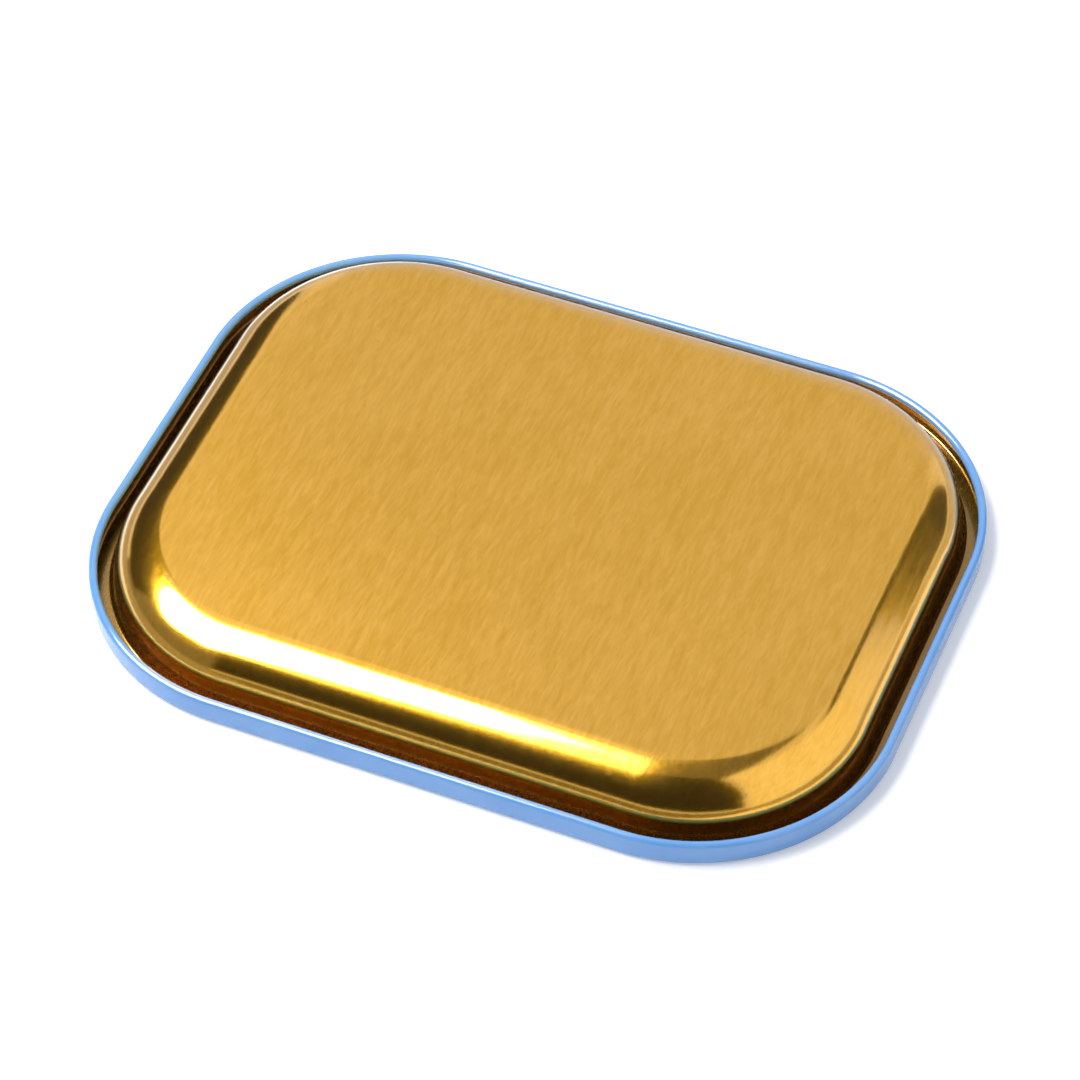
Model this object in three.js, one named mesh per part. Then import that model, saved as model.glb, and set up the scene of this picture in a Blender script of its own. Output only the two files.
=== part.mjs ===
// A shallow tray pressed from one sheet of lacquered tinplate, lying face down on its rim.
//
// Frame: millimetres, +Z up, X along the long side. The origin is the centre of the plane that
// the tray lies on, so the base panel is the highest face.
//
// From the middle outwards the sheet runs flat as the base panel, turns down through a wide
// shoulder into the side wall, out through a foot radius into a flat flange, up again as a short
// skirt, and ends in a bead that is curled inwards and hides the cut edge.

import * as THREE from 'three';

// Outline of the rim, measured on the outer face of the skirt.
const length = 180;
const width = 141.7;
const cornerRadius = 44.6;

// Section of the pressing. An inset is a distance inwards from the outer face of the skirt, and
// the radii are those of the lacquered face, apart from the rim bend's, which is its outer radius.
const sheetThickness = 0.3;
const trayHeight = 14.8;
const shoulderRadius = 11;
const panelInset = 16.4;
const wallDraft = THREE.MathUtils.degToRad(10);
const footRadius = 0.9;
const rimBendRadius = 1.2;
const rimHeight = 6.2;

// The bead. Its turn is counted from the top of the skirt to the cut edge, and it stays short of
// a full turn, so the hollow inside it is open to the air.
const beadDiameter = 1.9;
const beadTurn = THREE.MathUtils.degToRad(290);

// Fineness of the round stretches.
const cornerSteps = 12;
const shoulderSteps = 10;
const bendSteps = 5;
const beadSteps = 14;

const lacqueredTinplate = new THREE.MeshStandardMaterial({
	color: 0xd9a845,
	roughness: 0.3,
	metalness: 1,
});

// The middle line of the sheet as (inset, height) points, from the edge of the base panel to the
// cut edge inside the bead.
function sheetMiddleLine() {
	const half = sheetThickness / 2;

	// The shoulder is an arc that starts level and ends where it is as steep as the wall.
	const shoulderLine = shoulderRadius - half;
	const shoulder = new THREE.EllipseCurve(
		panelInset, trayHeight - shoulderRadius, shoulderLine, shoulderLine,
		Math.PI / 2, Math.PI - wallDraft);

	// The foot is an arc that touches the leaning wall and the flange.
	const wallTop = shoulder.getPoint(1);
	const footLine = footRadius + half;
	const footHeight = sheetThickness + footRadius;
	const wallRun = (wallTop.y - footHeight) * Math.tan(wallDraft);
	const foot = new THREE.EllipseCurve(
		wallTop.x - wallRun - footLine / Math.cos(wallDraft), footHeight, footLine, footLine,
		-wallDraft, -Math.PI / 2, true);

	const rimBendLine = rimBendRadius - half;
	const rimBend = new THREE.EllipseCurve(
		rimBendRadius, rimBendRadius, rimBendLine, rimBendLine, -Math.PI / 2, -Math.PI, true);

	const beadRadius = beadDiameter / 2;
	const beadLine = beadRadius - half;
	const bead = new THREE.EllipseCurve(
		beadRadius, rimHeight - beadRadius, beadLine, beadLine,
		Math.PI, Math.PI - beadTurn, true);

	return [
		...shoulder.getPoints(shoulderSteps),
		...foot.getPoints(bendSteps),
		...rimBend.getPoints(bendSteps),
		...bead.getPoints(beadSteps),
	];
}

// The line moved sideways by a distance, to the left of its own direction if that is positive.
function offsetLine(line, distance) {
	return line.map((point, i) => {
		const before = line[i - 1] ?? point;
		const after = line[i + 1] ?? point;
		const along = after.clone().sub(before).normalize();
		return new THREE.Vector2(point.x - along.y * distance, point.y + along.x * distance);
	});
}

// Centres and directions round the rounded outline, anticlockwise, seen from above.
function outlineColumns() {
	const columns = [];
	for (let corner = 0; corner < 4; corner++) {
		const signX = corner === 0 || corner === 3 ? 1 : -1;
		const signY = corner < 2 ? 1 : -1;
		for (let step = 0; step <= cornerSteps; step++) {
			const angle = (corner + step / cornerSteps) * Math.PI / 2;
			columns.push({
				centreX: signX * (length / 2 - cornerRadius),
				centreY: signY * (width / 2 - cornerRadius),
				directionX: Math.cos(angle),
				directionY: Math.sin(angle),
			});
		}
	}
	return columns;
}

// Sweeps an open section of (inset, height) points round the outline. A level panel closes each
// end of the section: the lacquered face of the base above, and its printed face below.
function sweepRoundOutline(section) {
	const columns = outlineColumns();
	const rows = section.length;
	const positions = [];
	const indices = [];

	for (const { centreX, centreY, directionX, directionY } of columns) {
		for (const { x: inset, y: height } of section) {
			const radius = cornerRadius - inset;
			positions.push(centreX + radius * directionX, centreY + radius * directionY, height);
		}
	}
	const panelTop = positions.length / 3;
	const panelUnderside = panelTop + 1;
	positions.push(0, 0, section[0].y);
	positions.push(0, 0, section[rows - 1].y);

	for (let column = 0; column < columns.length; column++) {
		const here = column * rows;
		const next = ((column + 1) % columns.length) * rows;
		for (let row = 0; row < rows - 1; row++) {
			indices.push(here + row, here + row + 1, next + row);
			indices.push(next + row, here + row + 1, next + row + 1);
		}
		indices.push(panelTop, here, next);
		indices.push(panelUnderside, next + rows - 1, here + rows - 1);
	}

	const geometry = new THREE.BufferGeometry();
	geometry.setAttribute('position', new THREE.Float32BufferAttribute(positions, 3));
	geometry.setIndex(indices);
	geometry.computeVertexNormals();
	return geometry;
}

function makeTraySheet() {
	const line = sheetMiddleLine();
	const lacqueredFace = offsetLine(line, -sheetThickness / 2);
	const printedFace = offsetLine(line, sheetThickness / 2);
	const section = [...lacqueredFace, ...printedFace.reverse()];
	const mesh = new THREE.Mesh(sweepRoundOutline(section), lacqueredTinplate);
	mesh.name = 'tray_sheet';
	return mesh;
}

const tray = new THREE.Group();
tray.add(makeTraySheet());

export default tray;
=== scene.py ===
import bmesh
import bpy
import math
from mathutils import Matrix, Vector


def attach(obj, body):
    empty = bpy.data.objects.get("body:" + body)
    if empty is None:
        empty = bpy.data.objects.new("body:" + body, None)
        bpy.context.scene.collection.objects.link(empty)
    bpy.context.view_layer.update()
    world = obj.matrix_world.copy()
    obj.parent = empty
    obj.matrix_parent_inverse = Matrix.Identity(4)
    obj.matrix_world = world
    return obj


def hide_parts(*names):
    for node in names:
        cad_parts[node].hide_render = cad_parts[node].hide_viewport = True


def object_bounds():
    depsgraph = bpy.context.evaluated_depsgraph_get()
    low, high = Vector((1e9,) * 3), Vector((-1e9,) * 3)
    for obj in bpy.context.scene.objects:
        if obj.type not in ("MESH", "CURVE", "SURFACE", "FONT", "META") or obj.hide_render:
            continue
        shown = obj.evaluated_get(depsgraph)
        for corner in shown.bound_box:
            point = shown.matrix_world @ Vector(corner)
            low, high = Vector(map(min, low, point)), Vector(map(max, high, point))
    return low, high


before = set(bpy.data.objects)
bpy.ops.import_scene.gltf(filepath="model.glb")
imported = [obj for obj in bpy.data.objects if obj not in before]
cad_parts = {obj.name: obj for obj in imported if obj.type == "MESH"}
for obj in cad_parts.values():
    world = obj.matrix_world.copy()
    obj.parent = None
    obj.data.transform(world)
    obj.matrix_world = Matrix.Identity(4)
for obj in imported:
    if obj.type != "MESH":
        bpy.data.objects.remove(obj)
cadLow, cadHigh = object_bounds()
scene = bpy.context.scene
mm = 0.001


# ---- camera

cameraSetup = {
    "azimuth": 22.44,        # degrees round from the front, towards +X
    "elevation": 47.83,      # degrees above the table
    "roll": -0.20,
    "distance": 921.0 * mm,
    "aim": (-1.12 * mm, 2.68 * mm, 0.0),
    "lens": 141.8,           # on a 36 mm sensor
}


def directionFrom(azimuth, elevation):
    a = math.radians(azimuth)
    e = math.radians(elevation)
    return Vector((math.sin(a) * math.cos(e), -math.cos(a) * math.cos(e), math.sin(e)))


def makeCamera(setup):
    back = directionFrom(setup["azimuth"], setup["elevation"])
    right = Vector((0, 0, 1)).cross(back).normalized()
    up = back.cross(right)
    roll = math.radians(setup["roll"])
    sideways = right * math.cos(roll) + up * math.sin(roll)
    upwards = up * math.cos(roll) - right * math.sin(roll)
    data = bpy.data.cameras.new("camera")
    data.lens = setup["lens"]
    data.sensor_width = 36
    data.clip_start = 0.01
    camera = bpy.data.objects.new("camera", data)
    turn = Matrix((sideways, upwards, back)).transposed().to_4x4()
    place = Vector(setup["aim"]) + back * setup["distance"]
    camera.matrix_world = Matrix.Translation(place) @ turn
    scene.collection.objects.link(camera)
    scene.camera = camera


makeCamera(cameraSetup)
print("camera placed")


# ---- node helpers

def newMaterial(name):
    material = bpy.data.materials.new(name)
    material.use_nodes = True
    material.node_tree.nodes.clear()
    return material, material.node_tree


def addNode(tree, kind, settings=None, **inputs):
    node = tree.nodes.new(kind)
    for key, value in (settings or {}).items():
        setattr(node, key, value)
    for key, value in inputs.items():
        byNumber = key[0] == "i" and key[1:].isdigit()
        plug(tree, node.inputs[int(key[1:])] if byNumber else node.inputs[key], value)
    return node


def plug(tree, socket, value):
    if isinstance(value, bpy.types.NodeSocket):
        tree.links.new(value, socket)
    else:
        socket.default_value = value


def maths(tree, operation, first, second=0.0, clamp=False):
    settings = {"operation": operation, "use_clamp": clamp}
    node = addNode(tree, "ShaderNodeMath", settings, i0=first, i1=second)
    return node.outputs[0]


def remap(tree, value, low, high, newLow, newHigh):
    node = addNode(tree, "ShaderNodeMapRange", None, i0=value, i1=low, i2=high, i3=newLow, i4=newHigh)
    return node.outputs[0]


def objectPoint(tree, scale=(1, 1, 1), turn=(0, 0, 0)):
    place = addNode(tree, "ShaderNodeTexCoord")
    mapping = addNode(tree, "ShaderNodeMapping", None, Vector=place.outputs["Object"])
    mapping.inputs["Scale"].default_value = scale
    mapping.inputs["Rotation"].default_value = turn
    return mapping.outputs[0]


def noise(tree, point, scale, detail=3.0, roughness=0.5, distortion=0.0):
    node = addNode(tree, "ShaderNodeTexNoise", None, Vector=point, Scale=scale, Detail=detail,
                   Roughness=roughness, Distortion=distortion)
    return node.outputs[0]


def mixColour(tree, share, first, second, blend="MIX"):
    node = addNode(tree, "ShaderNodeMix", {"data_type": "RGBA", "blend_type": blend})
    plug(tree, node.inputs[0], share)
    plug(tree, node.inputs[6], first)
    plug(tree, node.inputs[7], second)
    return node.outputs[2]


# ---- finishes

goldLacquer = {
    "thin": (0.83, 0.445, 0.052, 1),      # where the lacquer lies thin
    "thick": (0.72, 0.37, 0.010, 1),    # where it has run together
    "speck": (0.30, 0.16, 0.03, 1),
    "roughness": (0.12, 0.175),
    "grainPitch": 1250,                  # grains per metre across the sheet
    "grainStretch": 0.16,                # how much narrower than long a grain is
    "grainTurn": -4,                     # degrees
    "grainDepth": 0.035,
    "coarseShare": 0.36,                 # pitch of the coarse streaks, as a share of the grain's
    "fineShare": 3.2,                    # and of the fine scratches
    "fineStretch": 0.05,
    "blotchPitch": 20,
    "speckPitch": 1500,
    "speckRange": (0.77, 0.81),
    "bumpHeight": 0.0003,
    "coat": 1.0,
    "coatRoughness": 0.05,
    "coatIor": 1.5,
    "paintedShadeColour": (0.24, 0.13, 0.022, 1),     # painted shade: darkens and dulls the channel behind the bead
    "paintedShadeRoughness": 0.3,
    "paintedShadeHeights": (0.0035, 0.0075),    # all of it below the first, none above the second
    "paintedShadePitch": 90,
}

blueEnamel = {
    "colour": (0.135, 0.345, 0.75, 1),
    "faded": (0.165, 0.385, 0.78, 1),
    "roughness": (0.10, 0.18),
    "peelPitch": 900,
    "peelDepth": 0.02,
    "cloudPitch": 60,
    "bumpHeight": 0.0003,
    "ior": 1.5,
    "coat": 0.3,
    "coatRoughness": 0.1,
}


def weighted(tree, parts):
    total = None
    for value, share in parts:
        part = maths(tree, "MULTIPLY", value, share)
        total = part if total is None else maths(tree, "ADD", total, part)
    return total


def addFinish(tree, settings, base, rough, bump):
    shader = addNode(tree, "ShaderNodeBsdfPrincipled")
    plug(tree, shader.inputs["Base Color"], base)
    plug(tree, shader.inputs["Roughness"], rough)
    plug(tree, shader.inputs["Normal"], bump.outputs[0])
    for name, value in settings.items():
        shader.inputs[name].default_value = value
    out = addNode(tree, "ShaderNodeOutputMaterial")
    tree.links.new(shader.outputs[0], out.inputs[0])


def makeGoldLacquer(look):
    material, tree = newMaterial("goldLacquer")
    across = look["grainPitch"]
    grainPoint = objectPoint(tree, (1, look["grainStretch"], 1), (0, 0, math.radians(look["grainTurn"])))
    grain = noise(tree, grainPoint, across, 4, 0.6, 0.7)
    coarse = noise(tree, grainPoint, across * look["coarseShare"], 3, 0.55, 0.8)
    blotch = noise(tree, objectPoint(tree), look["blotchPitch"], 3, 0.5, 0.4)
    finePoint = objectPoint(tree, (1, look["fineStretch"], 1))
    fine = noise(tree, finePoint, across * look["fineShare"], 2, 0.5)
    specks = noise(tree, objectPoint(tree), look["speckPitch"], 1, 0.5)

    streak = weighted(tree, [(grain, 0.45), (coarse, 0.35), (blotch, 0.2)])
    share = remap(tree, streak, 0.38, 0.62, 0.0, 1.0)
    base = mixColour(tree, share, look["thick"], look["thin"])
    speckLow, speckHigh = look["speckRange"]
    base = mixColour(tree, remap(tree, specks, speckLow, speckHigh, 0.0, 0.5), base, look["speck"])
    smooth, dull = look["roughness"]
    rough = remap(tree, weighted(tree, [(fine, 0.5), (grain, 0.5)]), 0.3, 0.7, smooth, dull)

    # Painted shade in the channel: below the lower height the lacquer is darkened and made rougher, fading out
    # by the upper height.
    height = addNode(tree, "ShaderNodeSeparateXYZ", None, Vector=objectPoint(tree)).outputs["Z"]
    low, high = look["paintedShadeHeights"]
    patchy = noise(tree, objectPoint(tree), look["paintedShadePitch"], 2, 0.5)
    paintedShade = remap(tree, height, low, high, 1.0, 0.0)
    paintedShade = maths(tree, "MULTIPLY", paintedShade, remap(tree, patchy, 0.3, 0.7, 0.95, 1.0), clamp=True)
    base = mixColour(tree, paintedShade, base, look["paintedShadeColour"])
    rough = maths(tree, "ADD", rough, maths(tree, "MULTIPLY", paintedShade, look["paintedShadeRoughness"] - dull))

    relief = maths(tree, "ADD", grain, maths(tree, "MULTIPLY", fine, 0.3))
    bump = addNode(tree, "ShaderNodeBump", None, Strength=look["grainDepth"],
                   Distance=look["bumpHeight"], Height=relief)
    settings = {"Metallic": 1.0, "Coat Weight": look["coat"],
                "Coat Roughness": look["coatRoughness"], "Coat IOR": look["coatIor"]}
    addFinish(tree, settings, base, rough, bump)
    return material


def makeBlueEnamel(look):
    material, tree = newMaterial("blueEnamel")
    cloud = noise(tree, objectPoint(tree), look["cloudPitch"], 3, 0.5)
    peel = noise(tree, objectPoint(tree), look["peelPitch"], 2, 0.5)
    base = mixColour(tree, remap(tree, cloud, 0.35, 0.65, 0, 1), look["colour"], look["faded"])
    smooth, dull = look["roughness"]
    rough = remap(tree, peel, 0.3, 0.7, smooth, dull)
    bump = addNode(tree, "ShaderNodeBump", None, Strength=look["peelDepth"],
                   Distance=look["bumpHeight"], Height=peel)
    settings = {"IOR": look["ior"], "Coat Weight": look["coat"], "Coat Roughness": look["coatRoughness"]}
    addFinish(tree, settings, base, rough, bump)
    return material


goldMaterial = makeGoldLacquer(goldLacquer)
blueMaterial = makeBlueEnamel(blueEnamel)
print("finishes made")


# ---- tray

traySheet = {
    "length": cadHigh.x - cadLow.x,
    "width": cadHigh.y - cadLow.y,
    "height": cadHigh.z - cadLow.z,
    "cornerRadius": 44.6 * mm,
    "cornerSteps": 48,
    "thickness": 0.3 * mm,
    "shoulderRadius": 11.0 * mm,
    "panelInset": 16.4 * mm,
    "wallDraft": 10.0,
    "footRadius": 0.9 * mm,
    "rimBendRadius": 1.2 * mm,
    "rimHeight": 6.2 * mm,
    "beadDiameter": 1.9 * mm,
    "beadTurn": 290.0,
}


def arcPoints(centre, radii, start, end, steps):
    points = []
    for i in range(steps + 1):
        a = math.radians(start + (end - start) * i / steps)
        points.append(Vector((centre[0] + radii[0] * math.cos(a), centre[1] + radii[1] * math.sin(a))))
    return points


def sheetLine(tray):
    half = tray["thickness"] / 2
    lean = math.tan(math.radians(tray["wallDraft"]))
    shoulderLine = tray["shoulderRadius"] - half
    centre = (tray["panelInset"], tray["height"] - tray["shoulderRadius"])
    line = arcPoints(centre, (shoulderLine, shoulderLine), 90, 180 - tray["wallDraft"], 52)
    wallTop = line[-1]
    footLine = tray["footRadius"] + half
    footHeight = tray["thickness"] + tray["footRadius"]
    footInset = wallTop.x - (wallTop.y - footHeight) * lean - footLine / math.cos(math.atan(lean))
    line += arcPoints((footInset, footHeight), (footLine, footLine), -tray["wallDraft"], -90, 22)
    bend = tray["rimBendRadius"]
    line += arcPoints((bend, bend), (bend - half, bend - half), -90, -180, 16)
    bead = tray["beadDiameter"] / 2
    beadCentre = (bead, tray["rimHeight"] - bead)
    line += arcPoints(beadCentre, (bead - half, bead - half), 180, 180 - tray["beadTurn"], 44)
    return line


def besideLine(line, distance):
    points = []
    for i, point in enumerate(line):
        along = (line[min(i + 1, len(line) - 1)] - line[max(i - 1, 0)]).normalized()
        points.append(Vector((point.x - along.y * distance, point.y + along.x * distance)))
    return points


def makeSection(tray):
    line = sheetLine(tray)
    half = tray["thickness"] / 2
    lacquered = besideLine(line, -half)
    printed = besideLine(line, half)[::-1]
    points = lacquered + printed
    mesh = bpy.data.meshes.new("section")
    edges = [(i, i + 1) for i in range(len(points) - 1)]
    mesh.from_pydata([(-p.x, -p.y, 0) for p in points], edges, [])
    side = mesh.attributes.new("printedSide", "FLOAT", "POINT")
    side.data.foreach_set("value", [0.0] * len(lacquered) + [1.0] * len(printed))
    section = bpy.data.objects.new("section", mesh)
    scene.collection.objects.link(section)
    return section


def makePressingTree():
    tree = bpy.data.node_groups.new("pressing", "GeometryNodeTree")
    face = tree.interface
    face.new_socket("Length", in_out="INPUT", socket_type="NodeSocketFloat")
    face.new_socket("Width", in_out="INPUT", socket_type="NodeSocketFloat")
    face.new_socket("Corner Radius", in_out="INPUT", socket_type="NodeSocketFloat")
    face.new_socket("Corner Steps", in_out="INPUT", socket_type="NodeSocketInt")
    face.new_socket("Section", in_out="INPUT", socket_type="NodeSocketObject")
    face.new_socket("Lacquer", in_out="INPUT", socket_type="NodeSocketMaterial")
    face.new_socket("Print", in_out="INPUT", socket_type="NodeSocketMaterial")
    face.new_socket("Geometry", in_out="OUTPUT", socket_type="NodeSocketGeometry")
    given = addNode(tree, "NodeGroupInput").outputs
    outline = addNode(tree, "GeometryNodeCurvePrimitiveQuadrilateral", {"mode": "RECTANGLE"},
                      i0=given["Length"], i1=given["Width"])
    rounded = addNode(tree, "GeometryNodeFilletCurve", {"mode": "POLY"}, Curve=outline.outputs[0],
                      Radius=given["Corner Radius"], Count=given["Corner Steps"])
    level = addNode(tree, "GeometryNodeSetCurveNormal", {"mode": "Z_UP"}, Curve=rounded.outputs[0])
    section = addNode(tree, "GeometryNodeObjectInfo", None, Object=given["Section"])
    profile = addNode(tree, "GeometryNodeMeshToCurve", None, Mesh=section.outputs["Geometry"])
    swept = addNode(tree, "GeometryNodeCurveToMesh", None, i0=level.outputs[0], i1=profile.outputs[0])
    whole = addNode(tree, "GeometryNodeRealizeInstances", None, Geometry=swept.outputs[0])
    lacquered = addNode(tree, "GeometryNodeSetMaterial", None, Geometry=whole.outputs[0],
                        Material=given["Lacquer"])
    side = addNode(tree, "GeometryNodeInputNamedAttribute", {"data_type": "FLOAT"}, Name="printedSide")
    isPrinted = addNode(tree, "FunctionNodeCompare", {"operation": "GREATER_THAN"},
                        i0=side.outputs[0], i1=0.75)
    printed = addNode(tree, "GeometryNodeSetMaterial", None, Geometry=lacquered.outputs[0],
                      Selection=isPrinted.outputs[0], Material=given["Print"])
    out = addNode(tree, "NodeGroupOutput")
    tree.links.new(printed.outputs[0], out.inputs[0])
    return tree


def makeTray(tray):
    section = makeSection(tray)
    tree = makePressingTree()
    maker = bpy.data.objects.new("maker", bpy.data.meshes.new("maker"))
    scene.collection.objects.link(maker)
    modifier = maker.modifiers.new("pressing", "NODES")
    modifier.node_group = tree
    values = {
        "Length": tray["length"], "Width": tray["width"],
        "Corner Radius": tray["cornerRadius"], "Corner Steps": tray["cornerSteps"],
        "Section": section, "Lacquer": goldMaterial, "Print": blueMaterial,
    }
    for item in tree.interface.items_tree:
        if item.name in values:
            modifier[item.identifier] = values[item.name]
    maker.data.update()
    depsgraph = bpy.context.evaluated_depsgraph_get()
    mesh = bpy.data.meshes.new_from_object(maker.evaluated_get(depsgraph))
    bpy.data.objects.remove(maker)
    bpy.data.objects.remove(section)
    return mesh


def closePanels(mesh):
    shape = bmesh.new()
    shape.from_mesh(mesh)
    bmesh.ops.remove_doubles(shape, verts=shape.verts, dist=0.001 * mm)
    filled = bmesh.ops.holes_fill(shape, edges=[e for e in shape.edges if e.is_boundary], sides=0)
    for panel in filled["faces"]:
        panel.material_index = 0 if panel.calc_center_median().z > 0.99 * traySheet["height"] else 1
    bmesh.ops.recalc_face_normals(shape, faces=shape.faces)
    for panel in shape.faces:
        panel.smooth = True
    openEdges = [e for e in shape.edges if not e.is_manifold]
    print("tray closed:", len(filled["faces"]), "panels,", len(openEdges), "open edges,",
          "volume", round(shape.calc_volume() * 1e9, 1), "cubic mm")
    shape.to_mesh(mesh)
    shape.free()


trayMesh = makeTray(traySheet)
closePanels(trayMesh)
trayObject = bpy.data.objects.new("pressedTray", trayMesh)
scene.collection.objects.link(trayObject)
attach(trayObject, "root")
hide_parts("tray_sheet")
print("tray made:", len(trayMesh.polygons), "faces")


# ---- table and light

studio = {
    "tableTone": (0.9, 0.9, 0.91, 1),
    "tableLift": 0.25,                 # extra white that only the viewer and reflections see
    "roomTone": (0.97, 0.98, 1.0, 1),
    "roomLevel": 0.5,
    "whiteLevel": 1.0,
    "keyWatts": 24.0,
    "keyPlace": (-85, 63, 1.6),        # azimuth, elevation, metres
    "keySizes": (1.05, 0.6),
    "cardDistance": 2.0,
}

# Boards round the table that only reflections see. Each corner is (azimuth, elevation) in degrees.
boards = [
    {"name": "keyBoard", "tone": 19.0,
     "corners": [(-140, 55), (-105, 49), (-78, 34), (-60, 27), (-44, 32), (-29, 44), (-30, 62),
                 (-50, 73), (-90, 78), (-125, 73), (-145, 63)]},
    {"name": "keyEdge", "tone": 1.1, "corners": [(-151, 51), (-128, 49), (-118, 62), (-138, 70), (-155, 61)]},
    {"name": "cameraBoard", "tone": 0.045, "corners": [(-25, 3), (50, 3), (50, 82), (-25, 82)]},
    {"name": "backBoard", "tone": 0.8, "corners": [(165, -6), (-148, -6), (-148, 62), (165, 62)]},
    {"name": "gapLeft", "tone": 0.06, "corners": [(-141, 52), (-141, 6), (-84, 6), (-63, 28), (-80, 42)]},
    {"name": "gapRight", "tone": 0.12,
     "corners": [(163, 51), (153, 3), (110, 3), (110, 52)]},
    {"name": "leftBoard", "tone": 0.3, "corners": [(-100, -6), (-24, -6), (-24, 42), (-62, 30), (-100, 30)]},
    {"name": "rightBoard", "tone": 1.2, "from": (0.085, 0.0, 0.012), "away": 0.5,
     "corners": [(48, 0), (129, 0), (132, 17), (137.5, 31), (144, 38), (155, 46.5), (137, 62), (48, 72)]},
    {"name": "rightBack", "tone": 0.85, "corners": [(48, -6), (118, -6), (118, 62), (48, 74)]},
    {"name": "overhead", "tone": 0.2,
     "corners": [(-22, 72), (52, 68), (112, 73), (165, 60), (-163, 61), (-115, 80)]},
]

# Cards lying on the table that only reflections see. Each corner is (x, y) in metres.
lowCards = [
    {"name": "frontCard", "tone": 0.25, "corners": [(-0.05, -0.1), (0.12, -0.1), (2.3, -1.9), (-1.2, -2.6)]},
    {"name": "leftCard", "tone": 0.5, "corners": [(-0.05, -0.1), (-1.2, -2.6), (-2.8, -0.6), (-0.12, -0.05)]},
    {"name": "farLeftCard", "tone": 0.55, "corners": [(-0.12, -0.05), (-2.8, -0.6), (-2.2, 2.2), (-0.1, 0.09)]},
    {"name": "backCard", "tone": 0.7, "corners": [(0.13, 0.05), (2.6, 1.6), (-2.2, 2.2), (-0.1, 0.09)]},
    {"name": "rightCard", "tone": 0.5, "corners": [(0.12, -0.1), (0.13, 0.05), (2.6, 1.6), (2.3, -1.9)]},
]


def seenRays(tree):
    path = addNode(tree, "ShaderNodeLightPath").outputs
    seen = maths(tree, "ADD", path["Is Camera Ray"], path["Is Glossy Ray"])
    return maths(tree, "ADD", seen, path["Is Transmission Ray"], clamp=True)


def makeTable(look):
    mesh = bpy.data.meshes.new("table")
    half = 3.0
    under = -0.05 * mm
    corners = [(-half, -half, under), (half, -half, under), (half, half, under), (-half, half, under)]
    mesh.from_pydata(corners, [], [(0, 1, 2, 3)])
    table = bpy.data.objects.new("table", mesh)
    scene.collection.objects.link(table)
    material, tree = newMaterial("tablePaint")
    paint = addNode(tree, "ShaderNodeBsdfDiffuse", None, Color=look["tableTone"])
    lift = maths(tree, "MULTIPLY", seenRays(tree), look["tableLift"])
    glow = addNode(tree, "ShaderNodeEmission", None, Strength=lift)
    both = addNode(tree, "ShaderNodeAddShader", None, i0=paint.outputs[0], i1=glow.outputs[0])
    out = addNode(tree, "ShaderNodeOutputMaterial")
    tree.links.new(both.outputs[0], out.inputs[0])
    mesh.materials.append(material)


def makeRoom(look):
    world = bpy.data.worlds.new("room")
    world.use_nodes = True
    scene.world = world
    tree = world.node_tree
    tree.nodes.clear()
    fill = addNode(tree, "ShaderNodeBackground", None, Color=look["roomTone"], Strength=look["roomLevel"])
    white = addNode(tree, "ShaderNodeBackground", None, Strength=look["whiteLevel"])
    white.inputs["Color"].default_value = (1, 1, 1, 1)
    both = addNode(tree, "ShaderNodeMixShader", None, i0=seenRays(tree), i1=fill.outputs[0],
                   i2=white.outputs[0])
    out = addNode(tree, "ShaderNodeOutputWorld")
    tree.links.new(both.outputs[0], out.inputs[0])


def facing(azimuth, elevation, distance):
    back = directionFrom(azimuth, elevation)
    return Matrix.Translation(back * distance) @ back.to_track_quat("Z", "Y").to_matrix().to_4x4()


def standingCorners(board, away):
    rays = [directionFrom(azimuth, elevation) for azimuth, elevation in board["corners"]]
    middle = sum(rays, Vector()).normalized()
    away = board.get("away", away)
    seenFrom = Vector(board.get("from", (0, 0, 0)))
    return [seenFrom + ray * (away / ray.dot(middle)) for ray in rays]


def makeBoard(board, corners):
    mesh = bpy.data.meshes.new(board["name"])
    mesh.from_pydata(corners, [], [list(range(len(corners)))])
    card = bpy.data.objects.new(board["name"], mesh)
    scene.collection.objects.link(card)
    card.visible_camera = False
    card.visible_diffuse = False
    card.visible_shadow = False
    material, tree = newMaterial(board["name"])
    glow = addNode(tree, "ShaderNodeEmission", None, Strength=board["tone"])
    out = addNode(tree, "ShaderNodeOutputMaterial")
    tree.links.new(glow.outputs[0], out.inputs[0])
    mesh.materials.append(material)


def makeLamp(name, place, sizes, watts):
    data = bpy.data.lights.new(name, "AREA")
    data.shape = "RECTANGLE"
    data.size, data.size_y = sizes
    data.energy = watts
    lamp = bpy.data.objects.new(name, data)
    lamp.visible_glossy = False        # its reflection is the key board
    lamp.matrix_world = facing(*place)
    scene.collection.objects.link(lamp)


makeTable(studio)
makeRoom(studio)
for depth, board in enumerate(boards):
    makeBoard(board, standingCorners(board, studio["cardDistance"] + 0.02 * depth))
for card in lowCards:
    makeBoard(card, [(x, y, 0.1 * mm) for x, y in card["corners"]])
makeLamp("keyBox", studio["keyPlace"], studio["keySizes"], studio["keyWatts"])
scene.view_settings.view_transform = "Standard"
print("table and light made")
